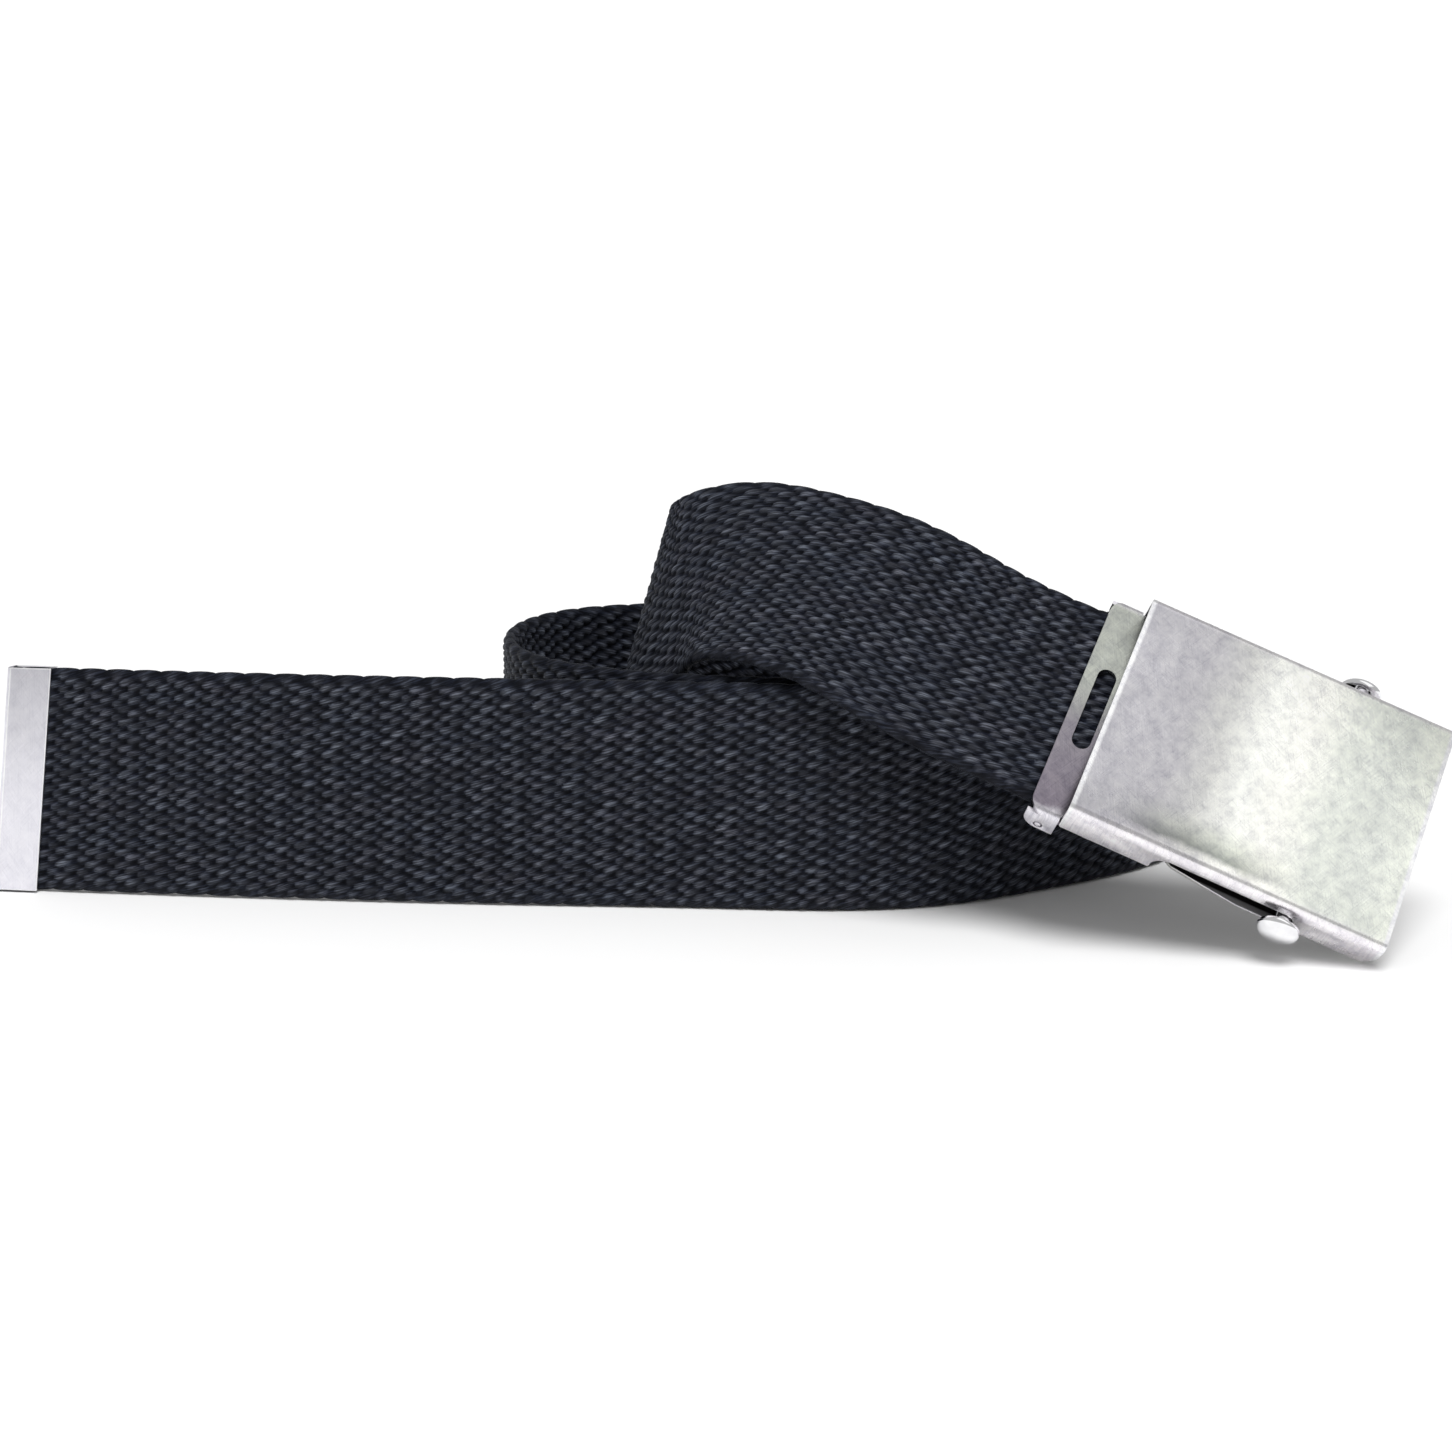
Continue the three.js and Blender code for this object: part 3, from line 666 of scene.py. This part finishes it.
def nickel_material(name, looks, home):
    """Nickel plate: colour runs along and across the piece (on the cover the colour along it is a
    painted reflection), a painted highlight at its ends where the looks ask for one, tarnish,
    scratches, pits.
    """
    material, shader, add, link = new_material(name)
    local, along, across = buckle_axes(add, link, home)
    clouds = noise(add, link, local, 95.0, 6.0, 0.65)
    half, side = COVER_LENGTH / 2 * MM, COVER_HALF * MM
    from_end = spread(add, link, along, -half, half)
    run = add_up(add, link, from_end, clouds, looks["wander"])
    # on the cover this colour along the piece is a painted reflection
    colour = colour_ramp(add, link, run, looks["along"])
    run = add_up(add, link, spread(add, link, across, -side, side), clouds, looks["wander"] / 2)
    across_tint = colour_ramp(add, link, run, looks["across"])
    colour = mixed(add, link, colour, across_tint,
                   colour_ramp(add, link, from_end, looks["across_where"]))
    wall = spread(add, link, size_of(add, link, across), side - 1.5 * MM, side - 0.3 * MM)
    colour = mixed(add, link, colour, colour_ramp(add, link, clouds, [
        (0.3, looks["walls"]),
        (0.7, tuple(1.06 * c for c in looks["walls"])),
    ]), wall, "MIX")
    # painted highlight along the two end edges, full within 0.5 mm of an end
    outward = size_of(add, link, along)
    rim = spread(add, link, outward, half - 0.9 * MM, half - 0.5 * MM, 0.0, looks["rim"])
    colour = mixed(add, link, colour, colour_ramp(add, link, clouds, [
        (0.3, (0.9, 0.9, 0.92)),
        (0.5, (1.0, 1.0, 1.0)),
    ]), rim, "MIX")
    mottle = noise(add, link, local, 420.0, 5.0, 0.7)
    colour = mixed(add, link, colour, colour_ramp(add, link, mottle, [
        (0.3, (0.74, 0.74, 0.78)),
        (0.5, (0.96, 0.96, 0.97)),
        (0.7, (1.12, 1.12, 1.10)),
    ]), looks["mottle"])
    scratches = []
    for angle in SCRATCH_ANGLES:
        leant = turned(add, link, local, (0, 0, math.radians(angle)))
        scratches.append(noise(add, link, scaled(add, link, leant, (260, 5200, 260)), 1.0, 2.0))
    for lines in scratches:
        colour = mixed(add, link, colour, colour_ramp(add, link, lines, [
            (0.32, (0.86, 0.86, 0.88)),
            (0.42, (1.0, 1.0, 1.0)),
            (0.62, (1.0, 1.0, 1.0)),
            (0.72, (1.14, 1.14, 1.14)),
        ]), looks["scratches"])
    link(colour, shader.inputs["Base Color"])
    low, high = looks["roughness"] - 0.05, looks["roughness"] + 0.08
    link(spread(add, link, clouds, 0.3, 0.7, low, high), shader.inputs["Roughness"])
    fine = bump(add, link, mottle, 0.03 * MM, 0.5)
    for lines in scratches:
        fine = bump(add, link, lines, 0.012 * MM, 1.0, fine)
    link(fine, shader.inputs["Normal"])
    shader.inputs["Metallic"].default_value = 1
    return material


def painted_highlight_material():
    """Painted highlight on the sheet's rounded edges and cut ends: a pale, half-metallic colour."""
    material, shader, add, link = new_material("painted highlight edges")
    place = add("ShaderNodeTexCoord").outputs["Object"]
    shade = colour_ramp(add, link, noise(add, link, place, 500.0), [
        (0.3, (0.80, 0.80, 0.82)),
        (0.6, (0.97, 0.97, 0.98)),
    ])
    link(shade, shader.inputs["Base Color"])
    shader.inputs["Metallic"].default_value = 0.55
    shader.inputs["Roughness"].default_value = 0.3
    return material


def hollow_material(home):
    """The cover's inside: painted shade, dull and near black, with a paler strip next to its walls."""
    material, shader, add, link = new_material("painted shade inside")
    across = buckle_axes(add, link, home)[2]
    wall = (COVER_HALF - SHEET) * MM
    rim = spread(add, link, size_of(add, link, across), wall - 0.5 * MM, wall - 0.2 * MM)
    shade = colour_ramp(add, link, rim, [
        (0.0, (0.022, 0.019, 0.020)),
        (1.0, (0.34, 0.34, 0.35)),
    ])
    link(shade, shader.inputs["Base Color"])
    shader.inputs["Metallic"].default_value = 1
    shader.inputs["Roughness"].default_value = 0.6
    return material


def bright_material():
    """Polished plate of the bar and its knobs, faintly smeared."""
    material, shader, add, link = new_material("polished plate")
    place = add("ShaderNodeTexCoord").outputs["Object"]
    smears = noise(add, link, place, 420.0, 4.0)
    base = colour_ramp(add, link, smears, [
        (0.3, (0.80, 0.80, 0.82)),
        (0.7, (0.95, 0.95, 0.96)),
    ])
    link(base, shader.inputs["Base Color"])
    link(spread(add, link, smears, 0.3, 0.7, 0.04, 0.12), shader.inputs["Roughness"])
    shader.inputs["Metallic"].default_value = 1
    return material


# Metal pieces

def deselect_all():
    if bpy.context.object and bpy.context.object.mode != "OBJECT":
        bpy.ops.object.mode_set(mode="OBJECT")
    bpy.ops.object.select_all(action="DESELECT")


def make_active(piece):
    deselect_all()
    piece.select_set(True)
    bpy.context.view_layer.objects.active = piece


def softened(node, name, width, place_materials):
    """A sheet-metal piece after its solid, with its faces merged and its edges rounded off."""
    piece = bpy.data.objects.new(name, node.data.copy())
    bpy.context.scene.collection.objects.link(piece)
    piece.data.materials.clear()
    for place_material in place_materials:
        piece.data.materials.append(place_material)
    piece.data.polygons.foreach_set("material_index", [0] * len(piece.data.polygons))
    make_active(piece)
    bpy.ops.object.mode_set(mode="EDIT")
    bpy.ops.mesh.select_all(action="SELECT")
    bpy.ops.mesh.remove_doubles(threshold=0.002 * MM)
    bpy.ops.mesh.dissolve_limited(angle_limit=math.radians(1.5))
    bpy.ops.object.mode_set(mode="OBJECT")
    bevel = piece.modifiers.new("edges", "BEVEL")
    bevel.limit_method = "ANGLE"
    bevel.angle_limit = math.radians(SHARP_ANGLE)
    bevel.width = width * MM
    bevel.segments = 3
    # the rounded edges take the painted highlight at that place
    bevel.material = BRIGHT
    bevel.use_clamp_overlap = True
    bpy.ops.object.modifier_apply(modifier="edges")
    bpy.ops.object.shade_smooth_by_angle(angle=math.radians(SHARP_ANGLE))
    return piece


def make_bar(place):
    """The lock bar: a turned profile with a necked, domed knob at each end."""
    seat = COVER_HALF + KNOB_STAND
    end = COVER_HALF - FLANGE_WIDTH - FIT_GAP
    corner = 0.3 * BAR_CHAMFER
    profile = [
        (0, 0), (BAR_RADIUS, 0), (BAR_RADIUS, end - BAR_CHAMFER),
        (BAR_RADIUS - corner, end - corner), (BAR_RADIUS - BAR_CHAMFER, end),
        (NECK_RADIUS, end), (NECK_RADIUS, seat),
        (KNOB_RADIUS - KNOB_LIP, seat), (KNOB_RADIUS - 0.15, seat + 0.15),
        (KNOB_RADIUS, seat + KNOB_LIP),
    ]
    for step in range(1, 13):
        angle = step / 12 * math.pi / 2
        radius = 0 if step == 12 else KNOB_RADIUS * math.cos(angle)
        profile.append((radius, seat + KNOB_LIP + (KNOB_THICK - KNOB_LIP) * math.sin(angle)))
    mesh = bpy.data.meshes.new("lock_bar_turned")
    verts = [(r * MM, y * MM, 0) for r, y in profile]
    mirrored = [(r * MM, -y * MM, 0) for r, y in profile[1:]]
    chain = mirrored[::-1] + verts[1:]
    mesh.from_pydata(chain, [(i, i + 1) for i in range(len(chain) - 1)], [])
    bar = bpy.data.objects.new("lock_bar_turned", mesh)
    bpy.context.scene.collection.objects.link(bar)
    make_active(bar)
    bpy.ops.object.mode_set(mode="EDIT")
    bpy.ops.mesh.select_all(action="SELECT")
    bpy.ops.mesh.spin(steps=48, angle=2 * math.pi, center=(0, 0, 0), axis=(0, 1, 0))
    bpy.ops.mesh.select_all(action="SELECT")
    bpy.ops.mesh.remove_doubles(threshold=0.004 * MM)
    bpy.ops.mesh.normals_make_consistent(inside=False)
    bpy.ops.object.mode_set(mode="OBJECT")
    mesh.transform(place @ Matrix.Translation(Vector((BAR_X, 0, -BAR_SINK)) * MM))
    bpy.ops.object.shade_smooth_by_angle(angle=math.radians(40))
    return bar


def paint_cover_highlight_and_shade(piece, place):
    """Painted highlight on the cover's two cut ends, and painted shade on what faces its hollow."""
    inside = place.inverted()
    turn = inside.to_3x3()
    for face in piece.data.polygons:
        direction = turn @ face.normal
        if abs(direction.x) > END_FACE:
            face.material_index = BRIGHT
        ahead = (inside @ face.center) / MM + AHEAD * direction
        between_walls = abs(ahead.y) < COVER_HALF - SHEET
        between_ends = abs(ahead.x) < COVER_LENGTH / 2
        # faces of the hollow take the painted shade
        if between_walls and between_ends and SHEET < -ahead.z < COVER_DEPTH - SHEET:
            face.material_index = DARK


def make_metal(frame, place):
    """The buckle's pieces and the end tip, each in place of its solid."""
    plate = nickel_material("nickel plate with wear and painted reflection", COVER_LOOKS, place)
    inner = nickel_material("tarnished nickel plate", FRAME_LOOKS, place)
    tip = nickel_material("satin tip metal", TIP_LOOKS, place)
    edges = painted_highlight_material()
    hollow = hollow_material(place)
    # second material: edges and ends, the painted highlight except on the jaw; third: the painted shade
    # in the cover's hollow
    table = [
        dict(node="buckle_cover", name="cover_sheet", width=0.22, place_materials=(plate, edges, hollow),
             body="belt", slot="nickel"),
        dict(node="inner_frame", name="frame_sheet", width=0.12, place_materials=(inner, edges),
             body="belt", slot="nickel"),
        dict(node="clamp_jaw", name="jaw_plate", width=0.06, place_materials=(inner, inner),
             body="jaw", slot="nickel"),
        dict(node="end_tip", name="tip_sheet", width=0.14, place_materials=(tip, edges),
             body="belt", slot="satin_metal"),
    ]
    for row in table:
        piece = softened(frame["nodes"][row["node"]], row["name"], row["width"], row["place_materials"])
        if row["node"] == "buckle_cover":
            paint_cover_highlight_and_shade(piece, place)
        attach(piece, row["body"])
        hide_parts(row["node"])
    bar = make_bar(place)
    bar.data.materials.append(bright_material())
    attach(bar, "bar")
    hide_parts("lock_bar")


def buckle_place(stations, shift):
    """Matrix from the buckle's own frame to the part's, in metres."""
    forward, across, face = (Vector(stations[key][-1]) for key in ("forward", "across", "face"))
    run = float(stations["route_end"] - stations["length"][-1])
    run += LEAD_IN + FRAME_SHOW + COVER_LENGTH / 2
    centre = Vector(stations["centre"][-1] + shift) + run * forward + WEB_SINK * face
    turn = Matrix((forward, across, face)).transposed()
    return Matrix.Translation(centre * MM) @ turn.to_4x4()


# The room

def make_camera(shift):
    data = bpy.data.cameras.new("photo_camera")
    data.sensor_width = SENSOR
    data.lens = FOCAL_PIXELS * SENSOR / PHOTO_SIDE
    data.clip_start = 0.01
    data.clip_end = 50
    camera = bpy.data.objects.new("photo_camera", data)
    camera.location = (Vector(CAMERA_PLACE) + Vector(shift)) * MM
    camera.rotation_euler = (math.radians(90 - CAMERA_DOWN), 0, 0)
    bpy.context.scene.collection.objects.link(camera)
    bpy.context.scene.camera = camera


def make_table():
    deselect_all()
    bpy.ops.mesh.primitive_plane_add(size=12, location=(0, 0, 0))
    table = bpy.context.object
    table.name = "white_table"
    material, shader = new_material("white table")[:2]
    shader.inputs["Base Color"].default_value = (0.92, 0.92, 0.92, 1)
    shader.inputs["Roughness"].default_value = 0.9
    shader.inputs["Specular IOR Level"].default_value = 0.1
    table.data.materials.append(material)


def soft_light(name, place, target, size, power):
    """A soft box that only shiny surfaces see."""
    data = bpy.data.lights.new(name, "AREA")
    data.shape = "RECTANGLE"
    data.size, data.size_y = size
    data.energy = power
    light = bpy.data.objects.new(name, data)
    light.location = place
    light.rotation_euler = (Vector(target) - Vector(place)).to_track_quat("-Z", "Y").to_euler()
    light.visible_diffuse = False
    bpy.context.scene.collection.objects.link(light)


def make_light():
    world = bpy.data.worlds.new("white room")
    bpy.context.scene.world = world
    world.use_nodes = True
    back = world.node_tree.nodes["Background"]
    back.inputs["Color"].default_value = (1, 1, 1, 1)
    back.inputs["Strength"].default_value = ROOM_LIGHT
    soft_light("overhead_box", (0.33, -0.25, 0.59), (0.08, -0.03, 0.03), (0.5, 0.8), 0.74)
    # the sky lights the cloth and the table; shiny surfaces see only the room and the box
    data = bpy.data.lights.new("sky_light", "SUN")
    data.energy = SKY_LIGHT
    data.angle = math.radians(32)
    sky = bpy.data.objects.new("sky_light", data)
    sky.rotation_euler = Vector((-0.1, 0.42, -1)).to_track_quat("-Z", "Y").to_euler()
    sky.visible_glossy = False
    bpy.context.scene.collection.objects.link(sky)
    bpy.context.scene.view_settings.view_transform = "Standard"


def make_backdrop():
    """A white shell far round the table, seen by the camera alone."""
    deselect_all()
    bpy.ops.mesh.primitive_uv_sphere_add(segments=48, ring_count=24, radius=8)
    shell = bpy.context.object
    shell.name = "white_shell"
    material, shader = new_material("white shell")[:2]
    shader.inputs["Base Color"].default_value = (0, 0, 0, 1)
    shader.inputs["Emission Color"].default_value = (1, 1, 1, 1)
    shader.inputs["Emission Strength"].default_value = 1.1
    shell.data.materials.append(material)
    shell.visible_diffuse = False
    shell.visible_glossy = False
    shell.visible_shadow = False


# The belt

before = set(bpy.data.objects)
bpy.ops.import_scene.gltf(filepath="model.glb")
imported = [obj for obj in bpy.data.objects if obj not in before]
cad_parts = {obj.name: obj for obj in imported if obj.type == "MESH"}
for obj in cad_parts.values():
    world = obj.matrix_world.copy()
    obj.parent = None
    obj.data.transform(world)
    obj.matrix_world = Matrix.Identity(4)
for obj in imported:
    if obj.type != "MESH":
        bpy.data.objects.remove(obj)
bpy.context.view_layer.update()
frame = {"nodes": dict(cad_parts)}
stations = web_stations()
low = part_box("webbing")[0] / MM
shift = np.array(low) - plain_corners(stations).min(axis=0)
make_camera(shift)
make_table()
make_backdrop()
make_light()
place = buckle_place(stations, shift)
make_web(stations, shift, canvas_material())
make_metal(frame, place)
bpy.context.view_layer.update()
